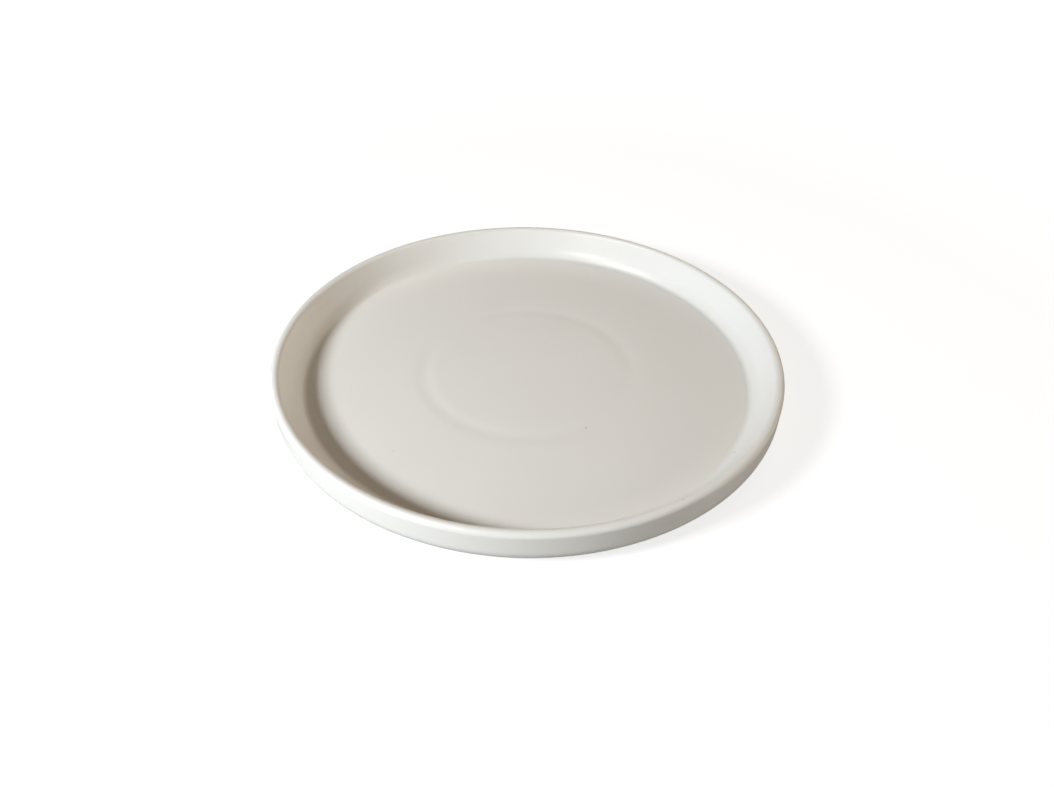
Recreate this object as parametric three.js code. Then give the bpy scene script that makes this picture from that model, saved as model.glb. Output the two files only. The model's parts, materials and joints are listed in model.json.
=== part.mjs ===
// Low-walled dessert plate of fired stoneware under a satin glaze.
// Three solids, all turned about the Z axis: the clay body with its foot ring, the glaze coat that
// runs from the floor over the lip and round to the foot, and the disc of glaze inside the foot ring.
// Millimetres, +Z up. The origin is the centre of the foot ring's contact face.

import * as THREE from 'three';

// Well and rim, measured on the glazed surface.
const RIM_DIAMETER = 210; // across the outside of the lip
const WELL_DEPTH = 11.8; // lip crest to floor
const LIP_THICKNESS = 3.3; // the lip is a full round of this diameter
const INNER_FLARE = 36; // degrees from vertical, the inner wall leans outward
const COVE_RADIUS = 7.5; // concave round between the floor and the inner wall

// Outside, measured on the glazed surface.
const FLOOR_THICKNESS = 3.2; // floor to underside
const OUTER_FLARE = 2; // degrees from vertical, the outer wall leans outward
const HEEL_RADIUS = 6.5; // convex round between the outer wall and the underside

// Shallow ring that the turning tool left in the floor.
const GROOVE_DIAMETER = 87.5; // across the deepest line of the ring
const GROOVE_WIDTH = 8;
const GROOVE_DEPTH = 0.12;

// Foot ring, measured on the bare clay.
const FOOT_DIAMETER = 132; // across the outside of the ring, at the table
const FOOT_WIDTH = 5; // across the ring's section, at the table
const FOOT_DRAFT = 12; // degrees from vertical, both sides of the ring widen upward
const FOOT_EDGE_RADIUS = 0.6; // sponged round on each edge of the contact face
const BARE_HEIGHT = 1.1; // clay left bare between the table and the glaze line
const FOOT_FILLET = 1.4; // concave round between the ring and the underside

// Glaze.
const GLAZE_THICKNESS = 0.4;

// Facets.
const TURN_SEGMENTS = 72;
const GROOVE_STEPS = 4;
const COVE_STEPS = 5;
const LIP_INNER_STEPS = 3;
const LIP_OUTER_STEPS = 5;
const HEEL_STEPS = 4;
const FILLET_STEPS = 2;
const EDGE_STEPS = 2;

// Finishes.
const GLAZE_FINISH = { color: 0xdedcd5, roughness: 0.38, metalness: 0 };
const CLAY_FINISH = { color: 0xc9b595, roughness: 0.92, metalness: 0 };

const { sin, cos, min, PI } = Math;
const UP = PI / 2;
const DOWN = -PI / 2;

// Directions in which the straight faces look, as angles in the turned section: 0 is away from the axis.
const innerFlare = THREE.MathUtils.degToRad(INNER_FLARE);
const outerFlare = THREE.MathUtils.degToRad(OUTER_FLARE);
const footDraft = THREE.MathUtils.degToRad(FOOT_DRAFT);
const innerWallFacing = PI - innerFlare;
const outerWallFacing = -outerFlare;

// Levels above the table.
const undersideLevel = BARE_HEIGHT + FOOT_FILLET * (1 - sin(footDraft));
const floorLevel = undersideLevel + FLOOR_THICKNESS;
const crestLevel = floorLevel + WELL_DEPTH;

// The rounds, by centre and by radius on the glazed surface. Clay and glaze are turned about the same
// centres, so the coat keeps one thickness round every bend.
const lip = lipRound();
const cove = coveRound();
const heel = heelRound();
const fillet = footFillet();

function round(x, y, radius) {
  return { centre: new THREE.Vector2(x, y), radius };
}

function lipRound() {
  const radius = LIP_THICKNESS / 2;
  return round(RIM_DIAMETER / 2 - radius, crestLevel - radius, radius);
}

// The cove touches the floor and the straight of the inner wall, which runs down from the lip.
// Its radius is limited to one that takes up the whole wall.
function coveRound() {
  const wallTop = onRound(lip, innerWallFacing);
  const drop = wallTop.y - floorLevel;
  const share = 1 - sin(innerFlare);
  const radius = min(COVE_RADIUS, drop / share);
  const straight = (drop - radius * share) / cos(innerFlare);
  const x = wallTop.x - straight * sin(innerFlare) - radius * cos(innerFlare);
  return round(x, floorLevel + radius, radius);
}

// The heel touches the underside and the straight of the outer wall, with the same limit.
function heelRound() {
  const wallTop = onRound(lip, outerWallFacing);
  const drop = wallTop.y - undersideLevel;
  const share = 1 - sin(outerFlare);
  const radius = min(HEEL_RADIUS, drop / share);
  const straight = (drop - radius * share) / cos(outerFlare);
  const x = wallTop.x - straight * sin(outerFlare) - radius * cos(outerFlare);
  return round(x, undersideLevel + radius, radius);
}

// The fillet outside the ring touches the underside and the ring's glazed side. The one inside the ring
// is its mirror image across the middle of the ring's section.
function footFillet() {
  const y = undersideLevel - FOOT_FILLET;
  const reach = (FOOT_FILLET + GLAZE_THICKNESS + y * sin(footDraft)) / cos(footDraft);
  return round(FOOT_DIAMETER / 2 + reach, y, FOOT_FILLET);
}

function onRound({ centre, radius }, angle, growth = 0) {
  const reach = radius + growth;
  return new THREE.Vector2(centre.x + reach * cos(angle), centre.y + reach * sin(angle));
}

function arc(shape, from, to, steps, growth = 0) {
  return Array.from({ length: steps + 1 }, (_, k) => onRound(shape, from + (to - from) * k / steps, growth));
}

function mirrorAcrossFoot(point) {
  return new THREE.Vector2(FOOT_DIAMETER - FOOT_WIDTH - point.x, point.y);
}

// A shallow dip whose section is one wave, so its edges run out smoothly into the floor.
function groove(depthBelow) {
  return Array.from({ length: GROOVE_STEPS + 1 }, (_, k) => {
    const turn = 2 * PI * k / GROOVE_STEPS;
    const x = GROOVE_DIAMETER / 2 + GROOVE_WIDTH * (k / GROOVE_STEPS - 1 / 2);
    const dip = GROOVE_DEPTH * (1 - cos(turn)) / 2;
    return new THREE.Vector2(x, floorLevel - depthBelow - dip);
  });
}

// The coated face from the middle of the floor to the glaze line outside the foot ring, at a depth
// below the glazed surface: 0 is the glaze itself, GLAZE_THICKNESS is the clay under it.
function coatedFace(depthBelow) {
  return [
    new THREE.Vector2(0, floorLevel - depthBelow),
    ...groove(depthBelow),
    ...arc(cove, DOWN, innerWallFacing - PI, COVE_STEPS, depthBelow),
    ...arc(lip, innerWallFacing, UP, LIP_INNER_STEPS, -depthBelow),
    ...arc(lip, UP, outerWallFacing, LIP_OUTER_STEPS, -depthBelow).slice(1),
    ...arc(heel, outerWallFacing, DOWN, HEEL_STEPS, -depthBelow),
    ...outerFilletFace(depthBelow),
  ];
}

function outerFilletFace(depthBelow) {
  return arc(fillet, UP, PI - footDraft, FILLET_STEPS, depthBelow);
}

// The coated face inside the foot ring, from the glaze line to the axis.
function recessFace(depthBelow) {
  const face = outerFilletFace(depthBelow).map(mirrorAcrossFoot).reverse();
  return [...face, new THREE.Vector2(0, undersideLevel + depthBelow)];
}

// The bare tip of the foot ring, from its outer side round the contact face to its inner side.
function bareTip() {
  const reach = FOOT_EDGE_RADIUS * (1 - sin(footDraft)) / cos(footDraft);
  const edge = round(FOOT_DIAMETER / 2 - reach, FOOT_EDGE_RADIUS, FOOT_EDGE_RADIUS);
  const outer = arc(edge, -footDraft, DOWN, EDGE_STEPS);
  return [...outer, ...outer.map(mirrorAcrossFoot).reverse()];
}

// Turns a section about Z. The section runs from the upper point on the axis to the lower one.
function turned(name, section, finish) {
  const geometry = new THREE.LatheGeometry([...section].reverse(), TURN_SEGMENTS);
  geometry.rotateX(PI / 2);
  const mesh = new THREE.Mesh(geometry, new THREE.MeshStandardMaterial(finish));
  mesh.name = name;
  return mesh;
}

function clayBody() {
  const section = [...coatedFace(GLAZE_THICKNESS), ...bareTip(), ...recessFace(GLAZE_THICKNESS)];
  return turned('clay_body', section, CLAY_FINISH);
}

function glazeCoat() {
  const section = [...coatedFace(0), ...coatedFace(GLAZE_THICKNESS).reverse()];
  return turned('glaze_coat', section, GLAZE_FINISH);
}

function footRecessGlaze() {
  const section = [...recessFace(GLAZE_THICKNESS).reverse(), ...recessFace(0)];
  return turned('foot_recess_glaze', section, GLAZE_FINISH);
}

const plate = new THREE.Group();
plate.name = 'dessert_plate';
plate.add(clayBody(), glazeCoat(), footRecessGlaze());

export default plate;
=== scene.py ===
"""Looks of a low-walled stoneware dessert plate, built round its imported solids.

Three turned pieces stand for the three solids: the clay body with its foot ring, the satin glaze
over it and the disc of glaze inside the foot ring. Metres, +Z up, the foot ring stands on z = 0.
"""

import json
import logging
import math
from dataclasses import dataclass
from enum import Enum

import bpy
from mathutils import Matrix, Vector


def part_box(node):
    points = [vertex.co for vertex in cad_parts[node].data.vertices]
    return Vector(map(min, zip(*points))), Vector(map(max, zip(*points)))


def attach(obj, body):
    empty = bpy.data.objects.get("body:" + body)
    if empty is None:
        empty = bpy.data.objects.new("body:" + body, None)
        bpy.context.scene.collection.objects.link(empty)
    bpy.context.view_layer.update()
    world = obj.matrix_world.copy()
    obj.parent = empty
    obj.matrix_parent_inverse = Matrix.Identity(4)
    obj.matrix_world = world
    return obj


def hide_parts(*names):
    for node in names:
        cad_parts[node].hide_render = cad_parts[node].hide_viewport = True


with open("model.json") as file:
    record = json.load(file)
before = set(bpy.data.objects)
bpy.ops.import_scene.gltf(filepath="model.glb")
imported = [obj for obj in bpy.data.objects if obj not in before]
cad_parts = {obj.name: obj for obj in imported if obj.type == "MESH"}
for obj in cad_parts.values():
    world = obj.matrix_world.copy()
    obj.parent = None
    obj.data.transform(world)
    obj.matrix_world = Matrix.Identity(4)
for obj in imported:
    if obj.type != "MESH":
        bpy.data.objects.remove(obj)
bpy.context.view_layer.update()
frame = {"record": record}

LOG = logging.getLogger("dessert_plate")
PHOTO_WIDTH = 1054
MM = 0.001
UP = math.pi / 2
DOWN = -math.pi / 2

Point = tuple[float, float]
Place = tuple[float, float, float]
Colour = tuple[float, float, float]

WHITE: Colour = (1.0, 1.0, 1.0)


class Slot(Enum):
    """Material slots of the record."""

    GLAZE = "satin_glaze"
    CLAY = "bare_clay"


class Detail(Enum):
    """How finely a face of the section is divided: one that shows, or one that is hidden."""

    SHOWN = 4
    HIDDEN = 1


def arc(centre: Point, radius: float, start: float, end: float, steps: int) -> list[Point]:
    """Points on a round stretch of the section.

    Args:
        centre: Radius and height of the centre of the round.
        radius: Radius of the round.
        start: Angle of the first point, 0 away from the axis.
        end: Angle of the last point.
        steps: Number of chords.

    Returns:
        The points, both ends included.
    """
    angles = [start + (end - start) * k / steps for k in range(steps + 1)]
    return [(centre[0] + radius * math.cos(a), centre[1] + radius * math.sin(a)) for a in angles]


@dataclass(frozen=True)
class PlateSection:
    """Half section of the plate, with its glazed faces and its bare foot."""

    rim_radius: float
    crest: float
    floor: float
    underside: float
    foot_radius: float
    glaze: float = 0.4 * MM
    lip_outer_radius: float = 1.9 * MM
    lip_inner_radius: float = 2.5 * MM
    inner_flare: float = math.radians(32.5)
    cove_radius: float = 3.5 * MM
    sweep_radius: float = 14 * MM
    sweep_facing: float = math.radians(52)
    outer_flare: float = math.radians(2)
    heel_radius: float = 6.5 * MM
    groove_radius: float = 43.75 * MM
    groove_width: float = 11 * MM
    groove_depth: float = 0.17 * MM
    ring_pitch: float = 10.5 * MM
    ring_height: float = 0.01 * MM
    centre_mark_radius: float = 1 * MM
    centre_mark_depth: float = 0.03 * MM
    foot_width: float = 5 * MM
    foot_draft: float = math.radians(12)
    foot_edge: float = 0.6 * MM
    foot_fillet: float = 1.4 * MM
    floor_rows: int = 24
    cove_rows: int = 4
    lip_rows: int = 4
    heel_rows: int = 4
    fillet_rows: int = 2
    wall_rows: int = 2

    @classmethod
    def of_frame(cls) -> "PlateSection":
        """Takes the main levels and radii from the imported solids.

        Returns:
            The section.
        """
        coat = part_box("glaze_coat")[1]
        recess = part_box("foot_recess_glaze")[1]
        mounts = {mount["name"]: mount for mount in frame["record"]["mounts"]}
        return cls(
            rim_radius=coat.x,
            crest=coat.z,
            floor=mounts["well_floor"]["pos_m"][2],
            underside=recess.z - cls.glaze,
            foot_radius=mounts["foot"]["pos_m"][0] + cls.foot_width / 2,
        )

    def lip(self, radius: float) -> Point:
        """Centre of one of the lip's two rounds, which meet at the crest."""
        return self.rim_radius - self.lip_outer_radius, self.crest - radius

    def lip_inner(self, depth: float, steps: int) -> list[Point]:
        """The lip's inner round, from the wall to the crest."""
        centre = self.lip(self.lip_inner_radius)
        return arc(centre, self.lip_inner_radius - depth, math.pi - self.inner_flare, UP, steps)

    def lip_outer(self, depth: float, steps: int) -> list[Point]:
        """The lip's outer round, from the crest to the wall."""
        centre = self.lip(self.lip_outer_radius)
        return arc(centre, self.lip_outer_radius - depth, UP, -self.outer_flare, steps)

    @property
    def sweep(self) -> Point:
        """Wide concave round at the foot of the inner wall, above the tight cove.

        Returns:
            Centre of the round.
        """
        top = self.lip_inner(0.0, 1)[0]
        facing, flare = math.sin(self.sweep_facing), math.sin(self.inner_flare)
        foot = self.floor + self.cove_radius * (1 - facing) + self.sweep_radius * (facing - flare)
        lean = (top[1] - foot) * math.tan(self.inner_flare)
        inward = lean + self.sweep_radius * math.cos(self.inner_flare)
        return top[0] - inward, foot + self.sweep_radius * flare

    @property
    def cove(self) -> Point:
        """Centre of the tight concave round between the floor and the sweep."""
        apart = self.sweep_radius - self.cove_radius
        return self.sweep[0] + apart * math.cos(self.sweep_facing), self.floor + self.cove_radius

    @property
    def heel(self) -> Point:
        """Convex round between the outer wall and the underside.

        Returns:
            Centre of the round.
        """
        top = self.lip_outer(0.0, 1)[-1]
        foot = self.underside + self.heel_radius * (1 - math.sin(self.outer_flare))
        lean = (top[1] - foot) * math.tan(self.outer_flare)
        inward = lean + self.heel_radius * math.cos(self.outer_flare)
        return top[0] - inward, self.underside + self.heel_radius

    @property
    def fillet(self) -> Point:
        """Concave round between the foot ring's outer side and the underside.

        Returns:
            Centre of the round.
        """
        height = self.underside - self.foot_fillet
        reach = self.foot_fillet + self.glaze + height * math.sin(self.foot_draft)
        return self.foot_radius + reach / math.cos(self.foot_draft), height

    def across_foot(self, points: list[Point]) -> list[Point]:
        """Mirrors points across the middle of the foot ring's section, in reverse order."""
        return [(2 * self.foot_radius - self.foot_width - r, z) for r, z in reversed(points)]

    def floor_relief(self, radius: float) -> float:
        """Turning marks in the floor: the broad groove, the fine rings and the centre mark.

        Args:
            radius: Distance from the axis.

        Returns:
            Height of the marks against the plain floor, at most 0.
        """
        relief = self.ring_height * (math.cos(2 * math.pi * radius / self.ring_pitch) - 1) / 2
        off_groove = abs(radius - self.groove_radius) / self.groove_width
        if off_groove < 0.5:
            relief -= self.groove_depth * (1 + math.cos(2 * math.pi * off_groove)) / 2
        off_centre = radius / self.centre_mark_radius
        if off_centre < 1:
            relief -= self.centre_mark_depth * (1 + math.cos(math.pi * off_centre)) / 2
        return relief

    def coated_face(self, depth: float, detail: Detail) -> list[Point]:
        """Face from the middle of the floor over the lip to the glaze line outside the foot ring.

        Args:
            depth: Depth below the glazed surface.
            detail: How finely the face is divided.

        Returns:
            Points of the section, from the axis outward.
        """
        fine = detail.value
        cove, heel = self.cove, self.heel
        rows = self.floor_rows * fine
        radii = [cove[0] * k / rows for k in range(rows)]
        floor = [(r, self.floor - depth + self.floor_relief(r)) for r in radii]
        cove_rows = self.cove_rows * fine
        cove_face = arc(cove, self.cove_radius + depth, DOWN, -self.sweep_facing, cove_rows)
        sweep_radius = self.sweep_radius + depth
        sweep_face = arc(self.sweep, sweep_radius, -self.sweep_facing, -self.inner_flare, cove_rows)
        lip_rows = self.lip_rows * fine
        lip_face = [*self.lip_inner(depth, lip_rows), *self.lip_outer(depth, lip_rows)[1:]]
        heel_rows = self.heel_rows * fine
        heel_face = arc(heel, self.heel_radius - depth, -self.outer_flare, DOWN, heel_rows)
        fillet_face = self.fillet_face(depth, detail)
        return [
            *floor,
            *cove_face,
            *sweep_face[1:],
            *self.between(sweep_face[-1], lip_face[0], detail),
            *lip_face,
            *self.between(lip_face[-1], heel_face[0], detail),
            *heel_face,
            *self.between(heel_face[-1], fillet_face[0], detail),
            *fillet_face,
        ]

    def between(self, start: Point, end: Point, detail: Detail) -> list[Point]:
        """Divides a straight stretch of the section.

        Args:
            start: First end of the stretch.
            end: Last end of the stretch.
            detail: How finely the stretch is divided.

        Returns:
            The points between the ends, without them.
        """
        steps = self.wall_rows * detail.value
        across, rise = end[0] - start[0], end[1] - start[1]
        shares = [k / steps for k in range(1, steps)]
        return [(start[0] + across * share, start[1] + rise * share) for share in shares]

    def fillet_face(self, depth: float, detail: Detail) -> list[Point]:
        """Concave round from the underside to the glaze line on the foot ring's outer side."""
        steps = self.fillet_rows * detail.value
        return arc(self.fillet, self.foot_fillet + depth, UP, math.pi - self.foot_draft, steps)

    def recess_face(self, depth: float, detail: Detail) -> list[Point]:
        """Face inside the foot ring.

        Args:
            depth: Depth below the glazed surface.
            detail: How finely the face is divided.

        Returns:
            Points of the section, from the glaze line to the axis.
        """
        face = self.across_foot(self.fillet_face(depth, detail))
        middle = (0.0, self.underside + depth)
        return [*face, *self.between(face[-1], middle, detail), middle]

    def glaze_line(self, outer: Point, inner: Point, steps: int = 6) -> list[Point]:
        """Rounded bead where the glaze stops.

        Args:
            outer: Where the bead starts.
            inner: Where the bead ends, a half turn on.
            steps: Number of chords.

        Returns:
            Points of the bead, without its ends.
        """
        middle = ((outer[0] + inner[0]) / 2, (outer[1] + inner[1]) / 2)
        half = math.dist(outer, inner) / 2
        start = math.atan2(outer[1] - middle[1], outer[0] - middle[0])
        return arc(middle, half, start, start - math.pi, steps)[1:-1]

    def bare_tip(self, steps: int = 6) -> list[Point]:
        """Bare clay of the foot ring.

        Args:
            steps: Number of chords in each rounded edge.

        Returns:
            Points from the ring's outer side round the contact face to its inner side.
        """
        reach = self.foot_edge * (1 - math.sin(self.foot_draft)) / math.cos(self.foot_draft)
        edge = (self.foot_radius - reach, self.foot_edge)
        outer = arc(edge, self.foot_edge, -self.foot_draft, DOWN, steps)
        return [*outer, *self.across_foot(outer)]


class NodeTree:
    """Small helper that adds nodes to a tree and links them by name."""

    def __init__(self, tree: bpy.types.NodeTree) -> None:
        """Wraps a tree."""
        self.tree = tree

    def add(self, kind: str, settings: dict | None = None, **inputs: object) -> bpy.types.Node:
        """Adds a node.

        Args:
            kind: The node's type name.
            settings: Values of the node's own properties.
            inputs: Input sockets by name, with underscores for spaces: a value, or a socket to
                link from.

        Returns:
            The new node.
        """
        node = self.tree.nodes.new(kind)
        for name, value in (settings or {}).items():
            setattr(node, name, value)
        for name, value in inputs.items():
            self.feed(node.inputs[name.replace("_", " ")], value)
        return node

    def feed(self, socket: bpy.types.NodeSocket, value: object) -> None:
        """Links a socket to another one, or sets its value.

        Args:
            socket: The input socket.
            value: A socket to link from, or a value.
        """
        if isinstance(value, bpy.types.NodeSocket):
            self.tree.links.new(value, socket)
        else:
            socket.default_value = value

    def math(self, operation: str, first: object, second: object = 0.0) -> bpy.types.NodeSocket:
        """Adds a Math node.

        Args:
            operation: Name of the operation.
            first: First value or socket.
            second: Second value or socket.

        Returns:
            The result's socket.
        """
        node = self.add("ShaderNodeMath", {"operation": operation})
        self.feed(node.inputs[0], first)
        self.feed(node.inputs[1], second)
        return node.outputs[0]


class TurnedSection(NodeTree):
    """Geometry Nodes tree that turns a section about Z, with the slight warp of a fired plate."""

    SIZES = (
        ("Segments", "NodeSocketInt"),
        ("Rim Radius", "NodeSocketFloat"),
        ("Foot Radius", "NodeSocketFloat"),
        ("Ovality", "NodeSocketFloat"),
        ("Warp", "NodeSocketFloat"),
        ("Seam", "NodeSocketFloat"),
        ("Material", "NodeSocketMaterial"),
    )
    WARP_WAVES = 3
    WARP_PHASE = 0.7
    OVAL_WAVES = 2
    OVAL_PHASE = 1.9

    def __init__(self) -> None:
        """Builds the tree."""
        super().__init__(bpy.data.node_groups.new("turned_section", "GeometryNodeTree"))
        self.tree.is_modifier = True
        sockets = self.tree.interface
        sockets.new_socket("Section", in_out="INPUT", socket_type="NodeSocketGeometry")
        self.names = {
            name: sockets.new_socket(name, in_out="INPUT", socket_type=kind).identifier
            for name, kind in self.SIZES
        }
        sockets.new_socket("Geometry", in_out="OUTPUT", socket_type="NodeSocketGeometry")
        self.given = self.add("NodeGroupInput").outputs
        self.build()

    def wave(self, turn: bpy.types.NodeSocket, waves: int, phase: float) -> bpy.types.NodeSocket:
        """A wave round the plate that runs from 0 to 1."""
        angle = self.math("ADD", self.math("MULTIPLY", turn, waves), phase)
        return self.math("MULTIPLY", self.math("ADD", self.math("COSINE", angle), 1.0), 0.5)

    def build(self) -> None:
        """Lays a grid of rows and turns, places it by the section and closes its seam and poles."""
        given = self.given
        size = self.add("GeometryNodeAttributeDomainSize", Geometry=given["Section"])
        rows = size.outputs["Point Count"]
        columns = self.math("ADD", given["Segments"], 1.0)
        grid = self.add("GeometryNodeMeshGrid", Vertices_X=columns, Vertices_Y=rows).outputs["Mesh"]
        index = self.add("GeometryNodeInputIndex").outputs[0]
        row = self.math("MODULO", index, rows)
        column = self.math("FLOOR", self.math("DIVIDE", index, rows))
        turn = self.math("DIVIDE", self.math("MULTIPLY", column, -2 * math.pi), given["Segments"])
        section = self.add(
            "GeometryNodeSampleIndex",
            {"data_type": "FLOAT_VECTOR"},
            Geometry=given["Section"],
            Value=self.add("GeometryNodeInputPosition").outputs[0],
            Index=row,
        ).outputs[0]
        parts = self.add("ShaderNodeSeparateXYZ", Vector=section).outputs
        share = self.math("DIVIDE", parts["X"], given["Rim Radius"])
        oval_wave = self.wave(turn, self.OVAL_WAVES, self.OVAL_PHASE)
        oval = self.math("MULTIPLY", oval_wave, given["Ovality"])
        radius = self.math("SUBTRACT", parts["X"], self.math("MULTIPLY", oval, share))
        warp_wave = self.wave(turn, self.WARP_WAVES, self.WARP_PHASE)
        warp = self.math("MULTIPLY", warp_wave, given["Warp"])
        beyond = self.add(
            "ShaderNodeMapRange",
            {"interpolation_type": "SMOOTHSTEP"},
            Value=parts["X"],
            From_Min=given["Foot Radius"],
            From_Max=given["Rim Radius"],
        ).outputs[0]
        height = self.math("SUBTRACT", parts["Z"], self.math("MULTIPLY", warp, beyond))
        place = self.add(
            "ShaderNodeCombineXYZ",
            X=self.math("MULTIPLY", radius, self.math("COSINE", turn)),
            Y=self.math("MULTIPLY", radius, self.math("SINE", turn)),
            Z=height,
        ).outputs[0]
        placed = self.add("GeometryNodeSetPosition", Geometry=grid, Position=place).outputs[0]
        closed = self.add("GeometryNodeMergeByDistance", Geometry=placed, Distance=given["Seam"])
        smooth = self.add("GeometryNodeSetShadeSmooth", Geometry=closed.outputs[0]).outputs[0]
        real = self.add("GeometryNodeRealizeInstances", Geometry=smooth).outputs[0]
        dressed = self.add("GeometryNodeSetMaterial", Geometry=real, Material=given["Material"])
        self.tree.links.new(dressed.outputs[0], self.add("NodeGroupOutput").inputs[0])


class FiredGrain(NodeTree):
    """Shader group shared by glaze and clay: broad mottling, fine grain and sparse specks."""

    SCALES = ("Mottle Scale", "Grain Scale", "Speck Scale", "Speck Size", "Speck Share")
    MASKS = ("Mottle", "Grain", "Specks")
    MOTTLE_DETAIL = 3.0
    GRAIN_DETAIL = 4.0
    GRAIN_ROUGHNESS = 0.6

    def __init__(self) -> None:
        """Builds the group."""
        super().__init__(bpy.data.node_groups.new("fired_grain", "ShaderNodeTree"))
        sockets = self.tree.interface
        for name in self.SCALES:
            sockets.new_socket(name, in_out="INPUT", socket_type="NodeSocketFloat")
        for name in self.MASKS:
            sockets.new_socket(name, in_out="OUTPUT", socket_type="NodeSocketFloat")
        given = self.add("NodeGroupInput").outputs
        place = self.add("ShaderNodeTexCoord").outputs["Object"]
        mottle = self.add(
            "ShaderNodeTexNoise",
            Vector=place,
            Scale=given["Mottle Scale"],
            Detail=self.MOTTLE_DETAIL,
        )
        grain = self.add(
            "ShaderNodeTexNoise",
            Vector=place,
            Scale=given["Grain Scale"],
            Detail=self.GRAIN_DETAIL,
            Roughness=self.GRAIN_ROUGHNESS,
        )
        cells = self.add("ShaderNodeTexVoronoi", Vector=place, Scale=given["Speck Scale"])
        near = self.math("LESS_THAN", cells.outputs["Distance"], given["Speck Size"])
        pick = self.add("ShaderNodeSeparateColor", Color=cells.outputs["Color"]).outputs[0]
        few = self.math("LESS_THAN", pick, given["Speck Share"])
        out = self.add("NodeGroupOutput").inputs
        self.tree.links.new(mottle.outputs[0], out["Mottle"])
        self.tree.links.new(grain.outputs[0], out["Grain"])
        self.tree.links.new(self.math("MULTIPLY", near, few), out["Specks"])


@dataclass(frozen=True)
class Finish:
    """A fired surface: two tones that mottle into each other, specks, pinholes, gloss and grain."""

    name: str
    light: Colour
    deep: Colour
    speck: Colour
    roughness: tuple[float, float]
    specular: float
    mottle_scale: float
    grain_scale: float
    grain_height: float
    speck_scale: float
    speck_size: float
    speck_share: float
    pinholes: tuple[Place, ...] = ()
    pinhole_radius: float = 0.36 * MM

    def material(self, grain: FiredGrain) -> bpy.types.Material:
        """Makes the material.

        Args:
            grain: The shared grain group.

        Returns:
            The material, on object coordinates.
        """
        made = bpy.data.materials.new(self.name)
        made.use_nodes = True
        nodes = NodeTree(made.node_tree)
        shader = made.node_tree.nodes["Principled BSDF"]
        shader.inputs["Specular IOR Level"].default_value = self.specular
        look = nodes.add(
            "ShaderNodeGroup",
            {"node_tree": grain.tree},
            Mottle_Scale=self.mottle_scale,
            Grain_Scale=self.grain_scale,
            Speck_Scale=self.speck_scale,
            Speck_Size=self.speck_size,
            Speck_Share=self.speck_share,
        ).outputs
        tone = self.mixed(nodes, look["Mottle"], self.light, self.deep)
        specks = self.pricked(nodes, look["Specks"])
        nodes.feed(shader.inputs["Base Color"], self.mixed(nodes, specks, tone, self.speck))
        gloss = nodes.add(
            "ShaderNodeMapRange",
            Value=look["Mottle"],
            To_Min=self.roughness[0],
            To_Max=self.roughness[1],
        )
        nodes.feed(shader.inputs["Roughness"], gloss.outputs[0])
        height = nodes.math("SUBTRACT", look["Grain"], specks)
        bump = nodes.add("ShaderNodeBump", Height=height, Distance=self.grain_height)
        nodes.feed(shader.inputs["Normal"], bump.outputs[0])
        return made

    def pricked(self, nodes: NodeTree, specks: bpy.types.NodeSocket) -> bpy.types.NodeSocket:
        """Adds the pinholes to a mask of specks.

        Args:
            nodes: Tree that gets the nodes.
            specks: The mask.

        Returns:
            The mask with the pinholes in it.
        """
        place = nodes.add("ShaderNodeTexCoord").outputs["Object"]
        for pinhole in self.pinholes:
            away = nodes.add("ShaderNodeVectorMath", {"operation": "DISTANCE"})
            nodes.feed(away.inputs[0], place)
            nodes.feed(away.inputs[1], pinhole)
            inside = nodes.math("LESS_THAN", away.outputs["Value"], self.pinhole_radius)
            specks = nodes.math("MAXIMUM", specks, inside)
        return specks

    @staticmethod
    def mixed(
        nodes: NodeTree, share: object, first: object, second: object
    ) -> bpy.types.NodeSocket:
        """Mixes two colours by a share.

        Args:
            nodes: Tree that gets the node.
            share: Share of the second colour.
            first: Colour or socket at share 0.
            second: Colour or socket at share 1.

        Returns:
            The mixed colour's socket.
        """
        node = nodes.add("ShaderNodeMix", {"data_type": "RGBA"})
        colours = [socket for socket in node.inputs if socket.type == "RGBA"]
        nodes.feed(node.inputs[0], share)
        for socket, colour in zip(colours, (first, second)):
            nodes.feed(socket, (*colour, 1.0) if isinstance(colour, tuple) else colour)
        return next(socket for socket in node.outputs if socket.type == "RGBA")


# Places of the two pinholes: one in the floor, one at the foot of the wall.
PINHOLES: tuple[Place, ...] = ((0.0232, -0.0377, 0.0054), (0.0787, -0.0517, 0.0066))

SATIN_GLAZE = Finish(
    name="satin_glaze",
    light=(0.77, 0.757, 0.722),
    deep=(0.742, 0.728, 0.69),
    speck=(0.4, 0.37, 0.32),
    roughness=(0.26, 0.34),
    specular=0.4,
    mottle_scale=28.0,
    grain_scale=900.0,
    grain_height=0.02 * MM,
    speck_scale=300.0,
    speck_size=0.06,
    speck_share=0.03,
    pinholes=PINHOLES,
)

BARE_CLAY = Finish(
    name="bare_clay",
    light=(0.64, 0.54, 0.42),
    deep=(0.55, 0.45, 0.34),
    speck=(0.3, 0.24, 0.18),
    roughness=(0.82, 0.94),
    specular=0.25,
    mottle_scale=120.0,
    grain_scale=1800.0,
    grain_height=0.06 * MM,
    speck_scale=900.0,
    speck_size=0.25,
    speck_share=0.1,
)


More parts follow.
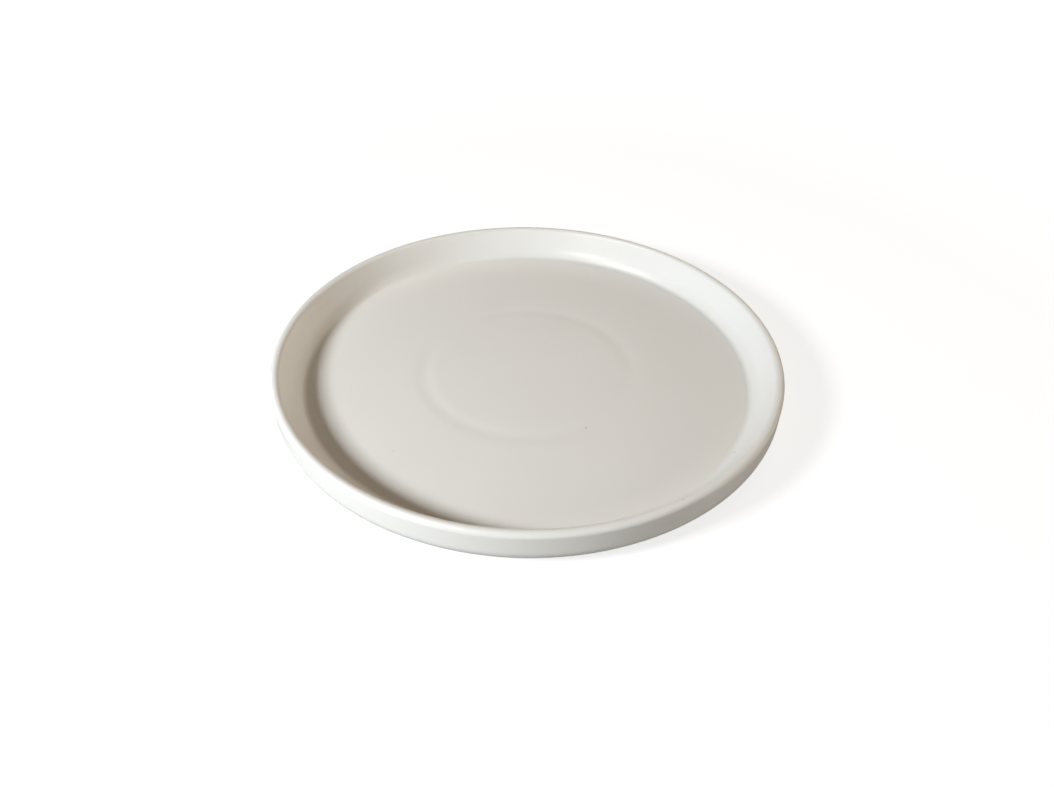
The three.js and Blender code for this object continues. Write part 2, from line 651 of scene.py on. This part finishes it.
@dataclass
class TurnedPiece:
    """One piece of the plate, turned from a closed section."""

    name: str
    node: str
    slot: Slot
    section: list[Point]
    segments: int
    material: bpy.types.Material
    rim_radius: float
    foot_radius: float
    ovality: float = 0.1 * MM
    warp: float = 0.1 * MM
    seam: float = 0.002 * MM

    def build(self, turned: TurnedSection) -> bpy.types.Object:
        """Turns the section into a plain mesh that stands for its solid.

        Args:
            turned: The turning tree.

        Returns:
            The finished object, riding on the root body.
        """
        outline = bpy.data.meshes.new(f"{self.name}_section")
        edges = [(k, k + 1) for k in range(len(self.section) - 1)]
        outline.from_pydata([(r, 0.0, z) for r, z in self.section], edges, [])
        holder = bpy.data.objects.new(f"{self.name}_section", outline)
        bpy.context.scene.collection.objects.link(holder)
        self.turn(holder, turned)
        graph = bpy.context.evaluated_depsgraph_get()
        mesh = bpy.data.meshes.new_from_object(holder.evaluated_get(graph))
        bpy.data.objects.remove(holder)
        bpy.data.meshes.remove(outline)
        mesh.name = self.name
        piece = bpy.data.objects.new(self.name, mesh)
        bpy.context.scene.collection.objects.link(piece)
        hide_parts(self.node)
        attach(piece, "root")
        LOG.info("%s: %d faces, stands for %s", self.name, len(mesh.polygons), self.node)
        return piece

    def turn(self, holder: bpy.types.Object, turned: TurnedSection) -> None:
        """Puts the turning tree on the section's object and sets its inputs.

        Args:
            holder: The section's object.
            turned: The turning tree.
        """
        modifier = holder.modifiers.new("turned", "NODES")
        modifier.node_group = turned.tree
        values = {
            "Segments": self.segments,
            "Rim Radius": self.rim_radius,
            "Foot Radius": self.foot_radius,
            "Ovality": self.ovality,
            "Warp": self.warp,
            "Seam": self.seam,
            "Material": self.material,
        }
        for name, value in values.items():
            modifier[turned.names[name]] = value


@dataclass
class Plate:
    """The whole plate: clay body, glaze coat and the disc of glaze inside the foot ring."""

    section: PlateSection
    shown_segments: int = 288
    hidden_segments: int = 144

    def build(self) -> list[bpy.types.Object]:
        """Builds and dresses the three pieces in order.

        Returns:
            The finished objects.
        """
        grain = FiredGrain()
        turned = TurnedSection()
        glaze = SATIN_GLAZE.material(grain)
        clay = BARE_CLAY.material(grain)
        body, coat, disc = self.clay_section(), self.coat_section(), self.disc_section()
        few, many = self.hidden_segments, self.shown_segments
        pieces = [
            self.piece("fired_body", "clay_body", Slot.CLAY, body, few, clay),
            self.piece("satin_coat", "glaze_coat", Slot.GLAZE, coat, many, glaze),
            self.piece("foot_disc", "foot_recess_glaze", Slot.GLAZE, disc, few, glaze),
        ]
        return [piece.build(turned) for piece in pieces]

    def piece(
        self,
        name: str,
        node: str,
        slot: Slot,
        section: list[Point],
        segments: int,
        material: bpy.types.Material,
    ) -> TurnedPiece:
        """One turned piece of this plate."""
        rim, foot = self.section.rim_radius, self.section.foot_radius
        return TurnedPiece(name, node, slot, section, segments, material, rim, foot)

    def clay_section(self) -> list[Point]:
        """Section of the clay body.

        Returns:
            Points from the floor's middle over the lip to the underside's middle.
        """
        clay = self.section.glaze
        face = self.section.coated_face(clay, Detail.HIDDEN)
        return [*face, *self.section.bare_tip(), *self.section.recess_face(clay, Detail.HIDDEN)]

    def coat_section(self) -> list[Point]:
        """Section of the glaze coat.

        Returns:
            Points of its shown face, its edge and its hidden face on the clay.
        """
        shown = self.section.coated_face(0.0, Detail.SHOWN)
        hidden = self.section.coated_face(self.section.glaze, Detail.HIDDEN)[::-1]
        return [*shown, *self.section.glaze_line(shown[-1], hidden[0]), *hidden]

    def disc_section(self) -> list[Point]:
        """Section of the glaze inside the foot ring.

        Returns:
            Points of its hidden face on the clay, its edge and its shown face.
        """
        hidden = self.section.recess_face(self.section.glaze, Detail.HIDDEN)[::-1]
        shown = self.section.recess_face(0.0, Detail.SHOWN)
        return [*hidden, *self.section.glaze_line(hidden[-1], shown[0]), *shown]


@dataclass(frozen=True)
class Lamp:
    """A soft rectangular lamp, placed by where its light comes from and turned to the plate.

    Azimuth and elevation are in degrees, the azimuth from +X towards +Y. A lamp that does not light
    makes highlights only, and a lamp that does not glint makes none.
    """

    name: str
    azimuth: float
    elevation: float
    distance: float
    width: float
    height: float
    level: float
    colour: Colour
    lights: bool = True
    glints: bool = True

    def build(self) -> bpy.types.Object:
        """Makes the lamp. A level of 1 lights a facing surface at the origin at its own colour.

        Returns:
            The lamp's object.
        """
        light = bpy.data.lights.new(self.name, "AREA")
        light.shape = "RECTANGLE"
        light.size = self.width
        light.size_y = self.height
        light.energy = self.level * (math.pi * self.distance) ** 2
        light.color = self.colour
        lamp = bpy.data.objects.new(self.name, light)
        turn, rise = math.radians(self.azimuth), math.radians(self.elevation)
        flat = math.cos(rise)
        towards = Vector((math.cos(turn) * flat, math.sin(turn) * flat, math.sin(rise)))
        lamp.location = towards * self.distance
        lamp.rotation_euler = towards.to_track_quat("Z", "Y").to_euler()
        lamp.visible_diffuse = self.lights
        lamp.visible_glossy = self.glints
        bpy.context.scene.collection.objects.link(lamp)
        LOG.info("lamp %s", self.name)
        return lamp


@dataclass
class Studio:
    """Pale floor, white surround and soft lamps."""

    floor_size: float = 12.0
    floor_tone: Colour = (0.4, 0.395, 0.38)
    seen_tone: Colour = (0.3, 0.3, 0.3)
    seen_glow: float = 0.78
    white_from: float = 0.25
    white_beyond: float = 0.7
    surround: Colour = (1.0, 0.86, 0.72)
    surround_level: float = 0.02
    lamps: tuple[Lamp, ...] = (
        Lamp(
            "window",
            azimuth=212.0,
            elevation=30.5,
            distance=1.0,
            width=0.24,
            height=0.18,
            level=1.29,
            colour=(0.95, 0.995, 1.035),
            glints=False,
        ),
        Lamp(
            "window_glint",
            azimuth=197.0,
            elevation=60.0,
            distance=1.5,
            width=0.3,
            height=0.3,
            level=0.32,
            colour=WHITE,
            lights=False,
        ),
        Lamp(
            "pane_glint",
            azimuth=233.0,
            elevation=51.0,
            distance=1.5,
            width=0.3,
            height=0.3,
            level=0.24,
            colour=WHITE,
            lights=False,
        ),
        Lamp(
            "ceiling",
            azimuth=42.0,
            elevation=45.0,
            distance=1.2,
            width=0.9,
            height=0.9,
            level=0.28,
            colour=(1.0, 0.77, 0.52),
            glints=False,
        ),
        Lamp(
            "room",
            azimuth=0.0,
            elevation=8.0,
            distance=1.2,
            width=1.0,
            height=0.4,
            level=0.28,
            colour=(1.0, 0.95, 0.89),
        ),
        Lamp(
            "far_room",
            azimuth=60.0,
            elevation=10.0,
            distance=1.2,
            width=1.0,
            height=0.4,
            level=0.12,
            colour=(1.0, 0.95, 0.89),
        ),
        Lamp(
            "near_room",
            azimuth=300.0,
            elevation=18.0,
            distance=1.2,
            width=1.0,
            height=0.4,
            level=0.16,
            colour=(1.0, 0.96, 0.91),
        ),
    )

    def build(self) -> None:
        """Lays the floor, sets the surround and hangs the lamps."""
        self.lay_floor()
        self.set_surround()
        for lamp in self.lamps:
            lamp.build()

    @staticmethod
    def seen(nodes: NodeTree) -> bpy.types.NodeSocket:
        """1 for what the camera sees, straight or through glass."""
        path = nodes.add("ShaderNodeLightPath").outputs
        return nodes.math("MAXIMUM", path["Is Camera Ray"], path["Is Transmission Ray"])

    def lay_floor(self) -> None:
        """Lays a pale floor that shows white and keeps a soft shadow."""
        half = self.floor_size / 2
        mesh = bpy.data.meshes.new("floor")
        corners = [(-half, -half, 0.0), (half, -half, 0.0), (half, half, 0.0), (-half, half, 0.0)]
        mesh.from_pydata(corners, [], [(0, 1, 2, 3)])
        material = bpy.data.materials.new("pale_floor")
        material.use_nodes = True
        material.node_tree.nodes.clear()
        nodes = NodeTree(material.node_tree)
        lit = nodes.add("ShaderNodeBsdfDiffuse", Color=(*self.floor_tone, 1.0)).outputs[0]
        shade = nodes.add("ShaderNodeBsdfDiffuse", Color=(*self.seen_tone, 1.0)).outputs[0]
        glow = nodes.add("ShaderNodeEmission", Strength=self.whitening(nodes)).outputs[0]
        white = self.joined(nodes, "ShaderNodeAddShader", shade, glow)
        shown = self.joined(nodes, "ShaderNodeMixShader", lit, white, self.seen(nodes))
        nodes.add("ShaderNodeOutputMaterial", Surface=shown)
        mesh.materials.append(material)
        floor = bpy.data.objects.new("floor", mesh)
        bpy.context.scene.collection.objects.link(floor)
        LOG.info("floor laid")

    def whitening(self, nodes: NodeTree) -> bpy.types.NodeSocket:
        """Glow of the floor, which grows to white away from the plate's shadow.

        Args:
            nodes: Tree that gets the nodes.

        Returns:
            The glow's strength.
        """
        place = nodes.add("ShaderNodeTexCoord").outputs["Object"]
        away = nodes.add("ShaderNodeVectorMath", {"operation": "LENGTH"}, Vector=place)
        return nodes.add(
            "ShaderNodeMapRange",
            Value=away.outputs["Value"],
            From_Min=self.white_from,
            From_Max=self.white_beyond,
            To_Min=self.seen_glow,
            To_Max=1.0,
        ).outputs[0]

    @staticmethod
    def joined(
        nodes: NodeTree,
        kind: str,
        first: bpy.types.NodeSocket,
        second: bpy.types.NodeSocket,
        share: bpy.types.NodeSocket | None = None,
    ) -> bpy.types.NodeSocket:
        """Adds or mixes two shaders.

        Args:
            nodes: Tree that gets the node.
            kind: Type name of the node, to add or to mix.
            first: First shader.
            second: Second shader.
            share: Share of the second shader, where they are mixed.

        Returns:
            The joined shader.
        """
        node = nodes.add(kind)
        shaders = [socket for socket in node.inputs if socket.type == "SHADER"]
        nodes.feed(shaders[0], first)
        nodes.feed(shaders[1], second)
        if share is not None:
            nodes.feed(node.inputs[0], share)
        return node.outputs[0]

    def set_surround(self) -> None:
        """Sets a white surround that lights the plate only dimly."""
        world = bpy.data.worlds.new("surround")
        world.use_nodes = True
        world.node_tree.nodes.clear()
        nodes = NodeTree(world.node_tree)
        dim = nodes.add(
            "ShaderNodeBackground",
            Color=(*self.surround, 1.0),
            Strength=self.surround_level,
        ).outputs[0]
        white = nodes.add("ShaderNodeBackground", Color=(*WHITE, 1.0), Strength=1.0).outputs[0]
        shown = self.joined(nodes, "ShaderNodeMixShader", dim, white, self.seen(nodes))
        nodes.add("ShaderNodeOutputWorld", Surface=shown)
        bpy.context.scene.world = world


@dataclass(frozen=True)
class PhotoCamera:
    """Camera at the photograph's viewing angle, aimed at a target on the axis below the crest."""

    crest: float
    target_drop: float = 1.65 * MM
    distance: float = 375 * MM
    elevation: float = math.radians(35.995)
    roll: float = math.radians(0.9525)
    focal_px: float = 896.5
    target_px: Point = (0.85, -44.65)
    sensor: float = 36.0
    nearest: float = 10 * MM

    def build(self) -> bpy.types.Object:
        """Makes the camera so that the target lands target_px right and down of the middle.

        Returns:
            The camera's object.
        """
        data = bpy.data.cameras.new("photo_camera")
        data.sensor_fit = "HORIZONTAL"
        data.sensor_width = self.sensor
        data.lens = self.focal_px / PHOTO_WIDTH * self.sensor
        camera = bpy.data.objects.new("photo_camera", data)
        back = Vector((0.0, -math.cos(self.elevation), math.sin(self.elevation)))
        right = Vector((1.0, 0.0, 0.0))
        facing = Matrix((right, back.cross(right), back)).transposed()
        rolled = facing @ Matrix.Rotation(self.roll, 3, "Z")
        target = Vector((0.0, 0.0, self.crest - self.target_drop))
        camera.matrix_world = Matrix.Translation(target + self.distance * back) @ rolled.to_4x4()
        across, down = self.target_px
        data.shift_x = -across / PHOTO_WIDTH
        data.shift_y = down / PHOTO_WIDTH
        data.clip_start = self.nearest
        bpy.context.scene.collection.objects.link(camera)
        bpy.context.scene.camera = camera
        LOG.info("camera placed")
        return camera


def main() -> None:
    """Builds the camera, the plate and the studio in order."""
    logging.basicConfig(level=logging.INFO)
    section = PlateSection.of_frame()
    PhotoCamera(section.crest).build()
    Plate(section).build()
    Studio().build()
    bpy.context.scene.view_settings.view_transform = "Standard"


if __name__ == "__main__":
    main()
